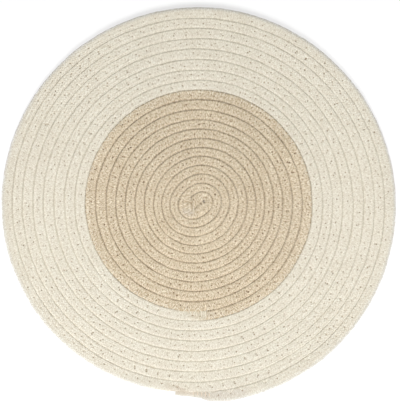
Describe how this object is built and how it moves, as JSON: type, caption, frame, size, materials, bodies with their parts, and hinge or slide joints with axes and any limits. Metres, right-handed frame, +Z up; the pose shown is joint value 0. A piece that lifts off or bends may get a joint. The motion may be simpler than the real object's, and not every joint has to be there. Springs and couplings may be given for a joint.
{
  "type": "round coiled rope placemat",
  "caption": "Round flat placemat coiled from braided cotton rope and sewn turn to turn, beige in the middle and cream around it, with a tapered tail at the rim.",
  "frame": {"origin": "middle of the mat's outline, on the underside", "axes": "+Z up through the mat's thickness, -Y towards the tapered tail at the rim"},
  "size_m": [0.3806, 0.3803, 0.006],
  "materials": {
    "beige_rope": "matte braided cotton",
    "cream_rope": "matte braided cotton"
  },
  "bodies": {
    "root": {"inner_rope_coil": "beige_rope", "outer_rope_coil": "cream_rope"}
  },
  "joints": []
}
